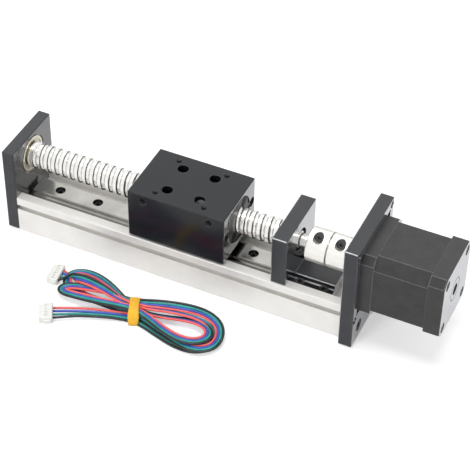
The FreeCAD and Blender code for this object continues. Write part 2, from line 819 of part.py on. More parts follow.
def carriage_block():
    half = carriage_width / 2
    body = prism_x(mirrored([(half, carriage_bottom), (half, carriage_top)]), carriage_x, carriage_end_x)
    body = breaks_edges(body, edge_break, lambda edge: True)
    cutters = [
        rod_x(screw_passage, carriage_x, carriage_end_x),
        rod_x(nut_diameter + 2 * nut_fit, nut_x, carriage_end_x),
    ]
    for x, y in block_hole_places():
        height = carriage_top - block_screw_seat
        cutters.append(rod(access_hole, height, vec(x, y, block_screw_seat), Z_AXIS))
        cutters.append(rod(M3[0], 4.0, vec(x, y, carriage_bottom), Z_AXIS))
    for x, y in square_pattern(user_hole_pitch, (carriage_mid_x, 0)):
        cutters.append(rod(user_hole_tap, user_hole_depth, vec(x, y, carriage_top), -Z_AXIS))
    sink = (side_hole_mouth - side_hole_tap) / 2
    for side in (-1, 1):
        for end in (-1, 1):
            place = vec(carriage_mid_x + end * side_hole_pitch / 2, side * half, carriage_top - side_hole_drop)
            inwards = vec(0, -side, 0)
            cutters.append(rod(side_hole_tap, user_hole_depth, place, inwards))
            cutters.append(Part.makeCone(side_hole_mouth / 2, side_hole_tap / 2, sink, place, inwards))
    return body.cut(cutters + lock_screw_pockets())


def deflector_pockets(x_start, x_end):
    pockets = []
    for angle in deflector_angles:
        y = deflector_radius * math.cos(math.radians(angle))
        z = screw_axis_height + deflector_radius * math.sin(math.radians(angle))
        pockets.append(rod_x(deflector_diameter, x_start, x_end, y, z))
    return pockets


def screw_clearance_bore():
    return rod_x(screw_diameter + 2 * nut_clearance, nut_x - 1, nut_end_x + 1)


def ball_nut():
    radius = nut_diameter / 2
    rim = 0.5
    body = revolve_x([(nut_x, 0), (nut_x, radius - rim), (nut_x + rim, radius), (nut_end_x - rim, radius),
                      (nut_end_x, radius - rim), (nut_end_x, 0)])
    cutters = [screw_clearance_bore()]
    cutters += deflector_pockets(nut_x, nut_x + deflector_depth)
    cutters += deflector_pockets(nut_end_x - deflector_depth, nut_end_x)
    return body.cut(cutters + lock_screw_pockets())


def ball_return_deflectors():
    pieces = deflector_pockets(nut_x, nut_x + deflector_depth)
    pieces += deflector_pockets(nut_end_x - deflector_depth, nut_end_x)
    return [piece.cut(screw_clearance_bore()) for piece in pieces]


def nut_lock_screws():
    return [socket_screw(M3, lock_screw_length, seat, X_AXIS) for seat in lock_screw_seats()]


def block_section(width, top_drop):
    """Section of the rail block: a saddle over the rail, open below."""
    half = width / 2
    inner = rail_width / 2 + running_gap
    roof = rail_top + running_gap
    top = block_top - top_drop
    points = [(inner, block_bottom), (half - 0.5, block_bottom), (half, block_bottom + 0.5)]
    points += [(half, top - 0.5), (half - 0.5, top)]
    closed = points + [(-y, z) for y, z in reversed(points)]
    return closed + [(-inner, roof), (inner, roof)]


def rail_block_body():
    body = prism_x(block_section(block_width, 0.0), block_x, block_end_x)
    reach = block_screw_length - block_screw_seat_height + screw_end_gap
    holes = [rod(M3[0], reach, vec(x, y, block_top), -Z_AXIS) for x, y in block_hole_places()]
    return body.cut(holes)


def both_ends(section, offset, thickness):
    """The same plate at both ends of the rail block, offset from the ends of its steel body."""
    return [prism_x(section, block_x - offset - thickness, block_x - offset),
            prism_x(section, block_end_x + offset, block_end_x + offset + thickness)]


def rail_block_end_caps():
    return both_ends(block_section(block_width - 0.6, 0.5), 0.0, block_cap_length)


def rail_block_end_seals():
    return both_ends(block_section(block_width - 1.2, 0.8), block_cap_length, block_seal_thickness)


def rail_block_screws():
    return [socket_screw(M3, block_screw_length, vec(x, y, block_screw_seat), Z_AXIS)
            for x, y in block_hole_places()]


# Motor lead: a hank of flat four wire lead held by a tie, with a plug on each free end

tie_x = 101.0
tie_y = -56.0
tie_half_span = 7.4
tie_turn = -8.0
plug_height = 4.6
plug_nose_share = 0.35
plug_step = 0.6
plug_rib = 0.7
plug_window = 1.8


# Seen from above, ends of arcs and a point on each arc in turn: left loop, waist, right loop, waist
hank_outline = [
    (94.0, -49.6), (78.0, -41.2), (63.0, -37.0), (55.4, -39.2), (52.3, -46.0), (54.8, -56.8), (63.0, -63.0),
    (78.0, -63.4), (94.0, -61.8), (101.0, -61.8), (108.5, -62.6), (126.0, -67.4), (143.0, -69.2),
    (155.2, -58.0), (149.0, -41.5), (137.0, -38.0), (124.0, -39.8), (116.0, -42.6), (108.5, -46.6),
    (101.0, -49.0),
]


def motor_lead_hank():
    """The folded lead's outer shape: a wide loop each side of the tied waist."""
    places = [vec(x, y, 0) for x, y in hank_outline + hank_outline[:1]]
    arcs = [Part.Arc(*places[i:i + 3]).toShape() for i in range(0, len(places) - 1, 2)]
    return Part.Face(Part.Wire(arcs)).extrude(vec(0, 0, hank_height))


def tie_section(grow):
    half = tie_half_span + grow
    top = hank_height + grow
    return [(-half, 0.0), (half, 0.0), (half, top - 2.0), (half - 2.0, top), (-half + 2.0, top), (-half, top - 2.0)]


def motor_lead_tie():
    """A flat strap round the hank's waist, modelled as the band that shows outside the wires."""
    outer = prism_x([(y, z) for y, z in tie_section(tie_wall)], -tie_width / 2, tie_width / 2)
    outer.rotate(vec(0, 0, 0), Z_AXIS, tie_turn)
    outer.translate(vec(tie_x, tie_y, 0))
    return outer.cut(motor_lead_hank())


def tail_tube(points, diameter):
    """A tube along straight runs joined by tangent arcs. It prints the arcs' radii."""
    places = [vec(*point) for point in points]
    edges = []
    start = places[0]
    for before, corner, after in zip(places, places[1:], places[2:]):
        run_in = corner - before
        run_out = after - corner
        turn = run_in.getAngle(run_out)
        reach = 0.45 * min(run_in.Length, run_out.Length)
        radius = reach / math.tan(turn / 2)
        print("tail bend radius", round(radius, 1))
        enter = corner - run_in.normalize() * reach
        leave = corner + run_out.normalize() * reach
        middle = (enter + leave) / 2
        towards = (middle - corner).normalize()
        rise = radius / math.cos(turn / 2) - radius
        edges.append(Part.LineSegment(start, enter).toShape())
        edges.append(Part.Arc(enter, corner + towards * rise, leave).toShape())
        start = leave
    edges.append(Part.LineSegment(start, places[-1]).toShape())
    spine = Part.Wire(edges)
    section = Part.Wire(Part.makeCircle(diameter / 2, places[0], places[1] - places[0]))
    return spine.makePipeShell([section], True, True)


driver_tail_points = [(60.6, -75.4, 2.3), (68.0, -71.2, 2.2), (77.0, -67.0, 2.1), (92.0, -62.0, 2.4)]
motor_tail_points = [(50.1, -46.9, 2.4), (56.0, -46.0, 2.8)]


def motor_lead_tails():
    tubes = [tail_tube(driver_tail_points, wire_bundle), tail_tube(motor_tail_points, wire_bundle)]
    held = [motor_lead_hank(), motor_lead_driver_plug(), motor_lead_motor_plug()]
    return [tube.cut(held) for tube in tubes]


def lead_plug(depth, width, place, angle, ways, pitch):
    """A white plug housing with a stepped nose, a row of terminal windows and a rib along each side."""
    nose = plug_nose_share * depth
    rear = depth - nose
    body = Part.makeBox(rear, width, plug_height, vec(-rear, -width / 2, 0))
    body = breaks_edges(body, edge_break, lambda edge: True)
    front = Part.makeBox(nose + edge_break, width - 2 * plug_step, plug_height - plug_step,
                         vec(-depth, plug_step - width / 2, 0))
    ribs = [Part.makeBox(0.7 * rear, plug_rib, plug_height / 3,
                         vec(-0.9 * rear, side * (width + plug_rib) / 2 - plug_rib / 2, plug_height / 3))
            for side in (-1, 1)]
    windows = []
    for i in range(ways):
        y = pitch * (i - (ways - 1) / 2)
        windows.append(Part.makeBox(plug_window, pitch / 2, plug_step,
                                    vec(-rear + edge_break + 0.3, y - pitch / 4, plug_height - plug_step)))
    body = body.fuse([front] + ribs).cut(windows)
    body.rotate(vec(0, 0, 0), Z_AXIS, angle)
    body.translate(vec(place[0], place[1], 0))
    return body


def motor_lead_driver_plug():
    return lead_plug(7.7, 12.4, driver_tail_points[0], 28.0, 4, 2.5)


def motor_lead_motor_plug():
    return lead_plug(6.8, 13.2, motor_tail_points[0], 7.0, 6, 2.0)


parts = {
    "base_profile": base_profile(),
    "idle_end_plate": idle_end_plate(),
    "idle_end_plate_screws": idle_end_plate_screws(),
    "idle_bearing_outer_ring": bearing_outer_ring(idle_bearing_x),
    "idle_bearing_shields": bearing_shields(idle_bearing_x),
    "idle_bearing_inner_ring": bearing_inner_ring(idle_bearing_x),
    "fixed_bearing_bracket": fixed_bearing_bracket(),
    "bracket_foot_screws": bracket_foot_screws(),
    "fixed_bearing_outer_ring": bearing_outer_ring(fixed_bearing_x),
    "fixed_bearing_shields": bearing_shields(fixed_bearing_x),
    "fixed_bearing_inner_ring": bearing_inner_ring(fixed_bearing_x),
    "bearing_retaining_ring": bearing_retaining_ring(),
    "bearing_lock_nut": bearing_lock_nut(),
    "linear_rail": linear_rail(),
    "rail_screws": rail_screws(),
    "motor_plate": motor_plate(),
    "motor_plate_screws": motor_plate_screws(),
    "motor_mounting_screws": motor_mounting_screws(),
    "motor_front_cap": motor_front_cap(),
    "motor_stator": motor_stator(),
    "motor_windings": motor_windings(),
    "motor_rear_cap": motor_rear_cap(),
    "motor_case_screws": motor_case_screws(),
    "motor_connector": motor_connector(),
    "motor_bearing_outer_rings": motor_bearing_outer_rings(),
    "motor_bearing_inner_rings": motor_bearing_inner_rings(),
    "motor_preload_washer": motor_preload_washer(),
    "motor_shaft": motor_shaft(),
    "motor_rotor": motor_rotor(),
    "ball_screw": ball_screw(),
    "shaft_coupling": shaft_coupling(),
    "coupling_clamp_screws": coupling_clamp_screws(),
    "carriage_block": carriage_block(),
    "ball_nut": ball_nut(),
    "ball_return_deflectors": ball_return_deflectors(),
    "nut_lock_screws": nut_lock_screws(),
    "rail_block_body": rail_block_body(),
    "rail_block_end_caps": rail_block_end_caps(),
    "rail_block_end_seals": rail_block_end_seals(),
    "rail_block_screws": rail_block_screws(),
    "motor_lead_hank": motor_lead_hank(),
    "motor_lead_tie": motor_lead_tie(),
    "motor_lead_tails": motor_lead_tails(),
    "motor_lead_driver_plug": motor_lead_driver_plug(),
    "motor_lead_motor_plug": motor_lead_motor_plug(),
}

os.makedirs("parts", exist_ok=True)
for name, piece in parts.items():
    shape = Part.makeCompound(piece) if isinstance(piece, list) else piece
    shape.translate(vec(-overall_length / 2, 0, 0))
    shape.exportStep("parts/" + name + ".step")
    box = shape.BoundBox
    print(name, shape.isValid(), len(shape.Solids), round(shape.Volume, 1),
          [round(v, 2) for v in (box.XMin, box.YMin, box.ZMin, box.XMax, box.YMax, box.ZMax)])
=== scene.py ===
import math

import bmesh
import bpy
from mathutils import Matrix, Vector


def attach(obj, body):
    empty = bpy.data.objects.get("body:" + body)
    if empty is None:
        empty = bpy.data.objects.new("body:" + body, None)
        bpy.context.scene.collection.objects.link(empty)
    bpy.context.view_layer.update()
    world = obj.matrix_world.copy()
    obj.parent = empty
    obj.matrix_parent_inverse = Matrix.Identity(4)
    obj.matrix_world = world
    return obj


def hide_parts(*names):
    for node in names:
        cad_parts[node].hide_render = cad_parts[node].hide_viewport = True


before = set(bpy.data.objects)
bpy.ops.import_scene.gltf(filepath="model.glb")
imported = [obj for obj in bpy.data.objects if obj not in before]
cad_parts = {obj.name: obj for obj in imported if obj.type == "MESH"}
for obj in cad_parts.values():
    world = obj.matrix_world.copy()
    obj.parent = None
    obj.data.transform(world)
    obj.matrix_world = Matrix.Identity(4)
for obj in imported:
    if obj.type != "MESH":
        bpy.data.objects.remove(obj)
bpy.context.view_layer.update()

MM = 0.001
# X of the idle end plate's outer face in the row frame, in millimetres
X0 = -133.95
AXIS_Z = 42.7


def place(x, y, z):
    """A point measured in millimetres from the idle end plate, in the row frame in metres."""
    return Vector(((x + X0) * MM, y * MM, z * MM))


# Camera, from the photograph's vanishing lines and the module's known sizes
CAMERA_PLACE = (0.29366083, -0.64097162, 0.67667692)
CAMERA_YAW = 0.42472059904731274
CAMERA_PITCH = -0.7433554396549561
CAMERA_ROLL = 0.017371677203108064
CAMERA_LENS = 129.466
SENSOR_WIDTH = 36.0


def make_camera():
    yaw, pitch, roll = CAMERA_YAW, CAMERA_PITCH, CAMERA_ROLL
    forward = Vector((-math.sin(yaw) * math.cos(pitch), math.cos(yaw) * math.cos(pitch), math.sin(pitch)))
    level = Vector((math.cos(yaw), math.sin(yaw), 0.0))
    above = level.cross(forward)
    right = level * math.cos(roll) + above * math.sin(roll)
    up = above * math.cos(roll) - level * math.sin(roll)
    data = bpy.data.cameras.new("camera")
    data.sensor_width = SENSOR_WIDTH
    data.lens = CAMERA_LENS
    data.clip_start = 0.05
    data.clip_end = 20.0
    camera = bpy.data.objects.new("camera", data)
    turn = Matrix((right, up, -forward)).transposed().to_4x4()
    camera.matrix_world = Matrix.Translation(Vector(CAMERA_PLACE)) @ turn
    bpy.context.scene.collection.objects.link(camera)
    bpy.context.scene.camera = camera


make_camera()


# Shader nodes
NOISE_LOW = 0.3
NOISE_HIGH = 0.7
NOISE_DETAIL = 3.0


def node(tree, kind, **values):
    made = tree.nodes.new(kind)
    for name, value in values.items():
        setattr(made, name, value)
    return made


def combine(tree, operation, a, b, clamp=False):
    """A sum, product or the like of two values, each a socket or a number."""
    made = node(tree, "ShaderNodeMath", operation=operation, use_clamp=clamp)
    for slot, value in zip(made.inputs, (a, b)):
        if isinstance(value, float):
            slot.default_value = value
        else:
            tree.links.new(value, slot)
    return made.outputs[0]


def noise(tree, scale):
    """Noise in object space. The scale is per metre and may differ along the three axes."""
    coords = node(tree, "ShaderNodeTexCoord")
    mapping = node(tree, "ShaderNodeMapping")
    mapping.inputs["Scale"].default_value = scale
    tree.links.new(coords.outputs["Object"], mapping.inputs["Vector"])
    made = node(tree, "ShaderNodeTexNoise")
    made.inputs["Scale"].default_value = 1.0
    made.inputs["Detail"].default_value = NOISE_DETAIL
    tree.links.new(mapping.outputs["Vector"], made.inputs["Vector"])
    return made.outputs["Fac"]


def ramp(tree, value, low, high):
    """A colour that runs from low to high with a noise."""
    made = node(tree, "ShaderNodeValToRGB")
    first, last = made.color_ramp.elements
    first.position, last.position = NOISE_LOW, NOISE_HIGH
    first.color, last.color = (*low, 1.0), (*high, 1.0)
    tree.links.new(value, made.inputs["Fac"])
    return made.outputs["Color"]


def value_range(tree, value, start, end, low=0.0, high=1.0, kind="SMOOTHSTEP"):
    """A number that runs from low to high while value runs from start to end."""
    made = node(tree, "ShaderNodeMapRange", interpolation_type=kind)
    for name, number in (("From Min", start), ("From Max", end), ("To Min", low), ("To Max", high)):
        made.inputs[name].default_value = number
    tree.links.new(value, made.inputs["Value"])
    return made.outputs["Result"]


def dot(tree, normal, other):
    """The dot product of a normal with another one or with a fixed direction."""
    made = node(tree, "ShaderNodeVectorMath", operation="DOT_PRODUCT")
    tree.links.new(normal, made.inputs[0])
    if isinstance(other, tuple):
        made.inputs[1].default_value = other
    else:
        tree.links.new(other, made.inputs[1])
    return made.outputs["Value"]


def rounded_normal(tree, radius, samples):
    made = node(tree, "ShaderNodeBevel", samples=samples)
    made.inputs["Radius"].default_value = radius
    return made.outputs["Normal"]


def mix(tree, share, below, above):
    made = node(tree, "ShaderNodeMixShader")
    tree.links.new(share, made.inputs["Fac"])
    tree.links.new(below, made.inputs[1])
    tree.links.new(above, made.inputs[2])
    return made.outputs["Shader"]


# Gloss of black anodising at a flat angle: where it starts and is full, by Layer Weight's Facing
GRAZING_START = 0.47
GRAZING_FULL = 0.80
GRAZING_ROUGH = 0.16
GRAZING_COLOUR = (0.92, 0.93, 0.95, 1.0)


def grazing_gloss(tree, below, amount, normal):
    """Mix in a gloss that only shows where the surface is seen at a flat angle, as on black anodising."""
    facing = node(tree, "ShaderNodeLayerWeight")
    facing.inputs["Blend"].default_value = 0.5
    share = value_range(tree, facing.outputs["Facing"], GRAZING_START, GRAZING_FULL, high=amount)
    gloss = node(tree, "ShaderNodeBsdfAnisotropic")
    gloss.inputs["Roughness"].default_value = GRAZING_ROUGH
    gloss.inputs["Color"].default_value = GRAZING_COLOUR
    if normal:
        tree.links.new(normal, gloss.inputs["Normal"])
    return mix(tree, share, below, gloss.outputs["BSDF"])


# Pale edges, partly where black finishes wear thin and partly a painted highlight. The painted highlight is
# strongest on upper edges on the part's front.
EDGE_WEAR_AND_HIGHLIGHT_WIDTH = 0.0008
EDGE_WEAR_AND_HIGHLIGHT_COLOUR = (0.72, 0.73, 0.74, 1.0)
PAINTED_HIGHLIGHT_WAY = (0.0, -0.7071, 0.7071)
LEAST_WEAR_AND_HIGHLIGHT = 0.1


def wear_and_highlight_edges(tree, below, amount, highlighted_chamfers):
    """Mix a pale colour into the edges: partly bare material where handling and the cutter leave black finishes
    thin, partly a painted highlight.
    """
    rounded = rounded_normal(tree, EDGE_WEAR_AND_HIGHLIGHT_WIDTH, 8)
    flat = node(tree, "ShaderNodeNewGeometry").outputs["Normal"]
    share = value_range(tree, dot(tree, rounded, flat), 0.998, 0.93, high=amount)
    if highlighted_chamfers:
        # narrow faces that slope to the front and up get the pale colour too, as a painted highlight
        painted_chamfer_highlight = value_range(tree, dot(tree, flat, PAINTED_HIGHLIGHT_WAY), 0.90, 0.99)
        share = combine(tree, "MAXIMUM", share, painted_chamfer_highlight)
    # painted highlight: edges that face up and to the front get the most, all others a small share
    highlight_by_way = value_range(tree, dot(tree, rounded, PAINTED_HIGHLIGHT_WAY), 0.85, 0.98, low=LEAST_WEAR_AND_HIGHLIGHT)
    pale_edge_shader = node(tree, "ShaderNodeBsdfDiffuse")
    pale_edge_shader.inputs["Color"].default_value = EDGE_WEAR_AND_HIGHLIGHT_COLOUR
    tree.links.new(rounded, pale_edge_shader.inputs["Normal"])
    return mix(tree, combine(tree, "MULTIPLY", share, highlight_by_way), below, pale_edge_shader.outputs["BSDF"])


# Materials. Every one is procedural: noise in object space moves the colour, the roughness and the surface.
def finish_of(name, low, high, metallic, rough, grain, bump=0.0, edge=0.0, ior=1.5, coarse=None, grazing=0.0,
              worn=0.0, highlighted_chamfers=False):
    """A finish whose colour runs from low to high and whose roughness runs over rough, on a grain's noise."""
    material = bpy.data.materials.new(name)
    material.use_nodes = True
    tree = material.node_tree
    shader = tree.nodes["Principled BSDF"]
    fine = noise(tree, grain)
    broad = noise(tree, coarse) if coarse else fine
    rougher = value_range(tree, fine, NOISE_LOW, NOISE_HIGH, *rough, kind="LINEAR")
    tree.links.new(ramp(tree, broad, low, high), shader.inputs["Base Color"])
    tree.links.new(rougher, shader.inputs["Roughness"])
    shader.inputs["Metallic"].default_value = metallic
    shader.inputs["IOR"].default_value = ior
    normal = rounded_normal(tree, edge, 6) if edge else None
    if bump:
        raised = node(tree, "ShaderNodeBump")
        raised.inputs["Strength"].default_value = 1.0
        raised.inputs["Distance"].default_value = bump
        tree.links.new(fine, raised.inputs["Height"])
        if normal:
            tree.links.new(normal, raised.inputs["Normal"])
        normal = raised.outputs["Normal"]
    if normal:
        tree.links.new(normal, shader.inputs["Normal"])
    surface = shader.outputs["BSDF"]
    if grazing:
        surface = grazing_gloss(tree, surface, grazing, normal)
    # pale edges, part wear and part painted highlight
    if worn:
        surface = wear_and_highlight_edges(tree, surface, worn, highlighted_chamfers)
    tree.links.new(surface, tree.nodes["Material Output"].inputs["Surface"])
    return material


# Grains per metre
FINE = (5200.0, 5200.0, 5200.0)
ALONG_X = (60.0, 5200.0, 5200.0)
TURNED = (5200.0, 300.0, 300.0)
LAMINATED = (5200.0, 500.0, 500.0)
SOFT = (90.0, 90.0, 90.0)


def even(scale):
    return (scale, scale, scale)


# What anodised plates share, with a little or much edge lightening, which is part wear and part painted highlight
ANODISED = {"low": (0.025, 0.0265, 0.031), "high": (0.032, 0.034, 0.039), "metallic": 0.0, "rough": (0.2, 0.3),
            "grain": FINE, "bump": 0.000002, "edge": 0.0004, "ior": 1.45, "coarse": SOFT, "grazing": 0.72}

# Each row gives a finish's darkest and lightest colour, metallic share, roughness range, grain and extras
FINISH_ROWS = {
    "silver_aluminium": ((0.84, 0.825, 0.795), (0.89, 0.875, 0.845), 0.6, (0.42, 0.52), ALONG_X,
                         {"bump": 0.000004, "edge": 0.00015, "coarse": SOFT}),
    "polished_aluminium": ((0.92, 0.90, 0.86), (0.95, 0.93, 0.885), 0.6, (0.2, 0.27), TURNED,
                           {"bump": 0.0000015, "edge": 0.0003, "coarse": SOFT}),
    "worn_black": ((0.06, 0.06, 0.06), (0.12, 0.12, 0.12), 1.0, (0.22, 0.32), FINE, {"edge": 0.0002}),
    # the carriage's edges are lightened a little, part wear and part painted highlight
    "carriage_black": ((0.006, 0.0075, 0.0105), (0.008, 0.010, 0.0135), 0.0, (0.14, 0.22), FINE,
                       {"bump": 0.000002, "edge": 0.0004, "ior": 1.40, "coarse": SOFT, "grazing": 0.55,
                        "worn": 0.15}),
    "nut_steel": ((0.05, 0.05, 0.05), (0.10, 0.10, 0.10), 0.8, (0.3, 0.4), FINE, {}),
    "rail_steel": ((0.31, 0.305, 0.285), (0.39, 0.385, 0.36), 1.0, (0.14, 0.22), ALONG_X,
                   {"bump": 0.000004, "edge": 0.0002, "coarse": SOFT}),
    "screw_steel": ((0.86, 0.85, 0.82), (0.93, 0.92, 0.89), 0.8, (0.16, 0.22), even(400.0), {}),
    # dark bands on the ball screw's groove edges: painted shade
    "screw_flank_painted_shade": ((0.05, 0.048, 0.042), (0.11, 0.105, 0.095), 1.0, (0.25, 0.35), even(400.0), {}),
    "bearing_steel": ((0.70, 0.66, 0.52), (0.82, 0.78, 0.64), 1.0, (0.14, 0.22), even(900.0), {"edge": 0.0002}),
    "shield_steel": ((0.56, 0.53, 0.45), (0.68, 0.65, 0.57), 0.9, (0.2, 0.32), even(900.0), {}),
    "spring_steel": ((0.20, 0.20, 0.20), (0.30, 0.30, 0.30), 1.0, (0.3, 0.42), FINE, {}),
    "black_steel": ((0.012, 0.012, 0.013), (0.026, 0.026, 0.028), 0.3, (0.22, 0.34), FINE,
                    {"bump": 0.000003, "edge": 0.0002, "coarse": even(500.0)}),
    "bright_screws": ((0.42, 0.41, 0.40), (0.57, 0.56, 0.54), 1.0, (0.2, 0.32), FINE, {"edge": 0.00015}),
    # the motor's caps and stack take pale edges, part wear and part painted highlight
    "motor_cap_black": ((0.022, 0.022, 0.023), (0.034, 0.034, 0.035), 0.0, (0.36, 0.48), FINE,
                        {"bump": 0.000006, "edge": 0.0004, "coarse": SOFT, "grazing": 0.78, "worn": 0.6}),
    "stack_black": ((0.020, 0.020, 0.020), (0.032, 0.032, 0.032), 0.0, (0.42, 0.58), LAMINATED,
                    {"bump": 0.000012, "edge": 0.0004, "coarse": even(160.0), "grazing": 0.7, "worn": 0.5}),
    # near black: painted shade over the bearing lock nut, so it reads as a dark bore, and the deflectors' own black
    # plastic
    "black_and_painted_shade": ((0.004, 0.004, 0.004), (0.008, 0.008, 0.008), 0.0, (0.5, 0.6), FINE, {"ior": 1.3}),
    "copper": ((0.55, 0.24, 0.10), (0.68, 0.32, 0.15), 0.9, (0.25, 0.38), FINE, {}),
    "rotor_steel": ((0.30, 0.30, 0.30), (0.42, 0.42, 0.42), 1.0, (0.3, 0.42), FINE, {}),
    # dark colour of the tapped threads: painted shade inside the carriage's holes
    "bare_thread_in_painted_shade": ((0.04, 0.04, 0.042), (0.10, 0.10, 0.105), 0.7, (0.3, 0.45), FINE, {}),
    "connector_white": ((0.84, 0.84, 0.80), (0.90, 0.90, 0.86), 0.0, (0.34, 0.46), FINE,
                        {"edge": 0.0002, "coarse": even(300.0)}),
    "black_plastic": ((0.016, 0.016, 0.017), (0.030, 0.030, 0.032), 0.0, (0.3, 0.45), FINE,
                      {"coarse": even(300.0)}),
    "black_rubber": ((0.014, 0.014, 0.014), (0.024, 0.024, 0.024), 0.0, (0.55, 0.7), FINE, {}),
    "tie_orange": ((0.94, 0.48, 0.025), (1.0, 0.58, 0.05), 0.0, (0.6, 0.8), even(2600.0),
                   {"bump": 0.00012, "coarse": even(700.0)}),
}

finishes = {name: finish_of(name, *row[:-1], **row[-1]) for name, row in FINISH_ROWS.items()}
# on the plates the pale edges and up-front chamfers are mostly a painted highlight
finishes["black_aluminium"] = finish_of("black_aluminium", worn=0.15, **ANODISED)
finishes["plate_black_highlit_edges"] = finish_of("plate_black_highlit_edges", worn=0.95, highlighted_chamfers=True, **ANODISED)

WIRE_COLOURS = {
    "red": ((0.90, 0.13, 0.13), (0.98, 0.19, 0.18)),
    "blue": ((0.05, 0.09, 0.48), (0.08, 0.14, 0.62)),
    "green": ((0.02, 0.30, 0.27), (0.04, 0.42, 0.37)),
    "black": ((0.012, 0.014, 0.016), (0.03, 0.03, 0.035)),
}
wire_finishes = [finish_of("wire_" + name, low, high, 0.0, (0.28, 0.4), even(900.0), coarse=even(200.0))
                 for name, (low, high) in WIRE_COLOURS.items()]
finishes["lead_insulation"] = wire_finishes[-1]


# Mesh pieces
def linked_object(name, mesh):
    piece = bpy.data.objects.new(name, mesh)
    bpy.context.scene.collection.objects.link(piece)
    return piece


def mesh_piece(name, build, finish):
    """Put a finished bmesh into the scene as an object with one material."""
    bmesh.ops.recalc_face_normals(build, faces=build.faces)
    mesh = bpy.data.meshes.new(name)
    build.to_mesh(mesh)
    build.free()
    mesh.materials.append(finish)
    return linked_object(name, mesh)


def closed_grid(build, rings, wrap):
    """Join rows of points into faces. Each row closes on itself, and wrap joins the last row to the first."""
    rows = [[build.verts.new(point) for point in ring] for ring in rings]
    pairs = list(zip(rows, rows[1:]))
    if wrap:
        pairs.append((rows[-1], rows[0]))
    for a, b in pairs:
        for j in range(len(a)):
            k = (j + 1) % len(a)
            build.faces.new((a[j], a[k], b[k], b[j])).smooth = True
    if not wrap:
        build.faces.new(rows[0][::-1])
        build.faces.new(rows[-1])


# Motor lead: one flat four wire lead, folded into loops on both sides of the tie
LEAD_WIDTH = 5.6
WIRE = 1.42
WIRE_SIDES = 10
# How far the wires fan out towards each plug, and over which share of the lead
DRIVER_FAN, DRIVER_FAN_SHARE = 0.85, 0.035
MOTOR_FAN, MOTOR_FAN_SHARE = 1.0, 0.02
# Points in millimetres from the idle end plate, with the lead's roll in degrees: 0 is flat, 90 on edge.
# The first four and the last two repeat the points of the lead's tails in the CAD source.
LEAD_ROUTE = [
    (60.6, -75.4, 2.3, 0), (68.0, -71.2, 2.2, 0), (77.0, -67.0, 2.1, 0), (92.0, -62.0, 2.4, 25),
    (101.5, -59.0, 1.6, 40), (110.5, -60.2, 1.2, 30), (121.0, -63.4, 1.0, 15), (133.5, -66.6, 1.0, 10),
    (144.0, -66.0, 1.2, 10), (150.6, -60.6, 1.4, 20), (150.8, -52.6, 2.2, 30), (144.6, -46.8, 3.0, 30),
    (135.5, -44.8, 3.6, 35), (120.7, -47.2, 4.0, 40), (108.5, -51.6, 4.4, 50), (100.0, -52.6, 4.6, 55),
    (92.0, -50.0, 4.6, 40), (82.5, -45.0, 4.6, 20), (72.5, -40.6, 4.0, 10), (63.0, -39.0, 3.4, 10),
    (55.8, -41.0, 2.8, 20), (53.4, -46.6, 2.0, 20), (57.6, -52.4, 1.4, 10), (68.0, -55.0, 1.2, 0),
    (82.0, -55.4, 1.4, 0), (93.0, -55.4, 2.0, 20), (101.5, -56.0, 2.6, 30), (110.0, -58.0, 3.0, 20),
    (121.0, -62.0, 3.0, 10), (134.0, -66.0, 3.0, 5), (145.0, -67.0, 3.0, 5), (152.6, -62.0, 3.2, 10),
    (154.0, -54.0, 3.6, 5), (150.0, -45.4, 4.4, -10), (141.0, -41.4, 5.2, -25), (130.0, -41.8, 5.6, -30),
    (116.0, -45.6, 6.0, -30), (106.0, -49.8, 6.4, -10), (98.0, -51.6, 6.4, 20), (90.0, -50.8, 6.0, 35),
    (79.0, -50.0, 4.6, 30), (68.0, -50.6, 3.6, 10), (59.6, -52.0, 3.0, 0), (55.2, -56.0, 2.8, 0),
    (58.2, -59.0, 3.4, 0), (66.0, -59.4, 4.4, 0), (77.0, -59.0, 5.4, 0), (89.0, -57.9, 6.4, -5),
    (99.6, -56.8, 7.2, -10), (107.0, -57.2, 6.4, -10), (114.0, -59.2, 5.6, -8), (123.0, -62.8, 5.2, -5),
    (133.5, -65.2, 5.0, 0), (142.0, -64.0, 5.0, 0), (147.4, -59.6, 5.0, 5), (148.0, -54.0, 5.0, 10),
    (144.0, -49.9, 4.6, 15), (137.0, -48.2, 3.6, 20), (129.0, -48.8, 2.8, 25), (117.0, -52.0, 2.4, 30),
    (107.0, -54.0, 3.4, 35), (98.0, -54.4, 5.4, 30), (89.0, -52.8, 6.8, 15), (79.0, -50.2, 7.2, 0),
    (69.0, -48.2, 6.8, -20), (61.0, -46.8, 5.0, -60), (56.0, -46.0, 2.8, -120), (50.1, -46.9, 2.4, -180),
]


def lead_centres():
    """The points of the lead's smoothed centreline."""
    route = bpy.data.curves.new("lead_route", "CURVE")
    route.dimensions = "3D"
    spline = route.splines.new("NURBS")
    spline.points.add(len(LEAD_ROUTE) - 1)
    for point, (x, y, z, roll) in zip(spline.points, LEAD_ROUTE):
        point.co = (*place(x, y, z), 1.0)
        point.tilt = math.radians(roll)
    spline.order_u = 3
    spline.use_endpoint_u = True
    spline.resolution_u = 8
    carrier = bpy.data.objects.new("lead_route", route)
    line = bpy.data.meshes.new_from_object(carrier)
    centres = [v.co.copy() for v in line.vertices]
    bpy.data.objects.remove(carrier)
    bpy.data.meshes.remove(line)
    return centres


def lead_rolls(count):
    """The lead's roll at each point of its centreline, in radians."""
    given = [point[3] for point in LEAD_ROUTE]
    spans = len(given) - 2
    rolls = []
    for i in range(count):
        at = i / (count - 1) * spans
        k = min(int(at), spans - 1)
        # a curve of this order starts and ends at its end points and passes near the middle of its other runs
        before = given[k] if k == 0 else (given[k] + given[k + 1]) / 2
        after = given[-1] if k == spans - 1 else (given[k + 1] + given[k + 2]) / 2
        rolls.append(math.radians(before + (after - before) * (at - k)))
    return rolls


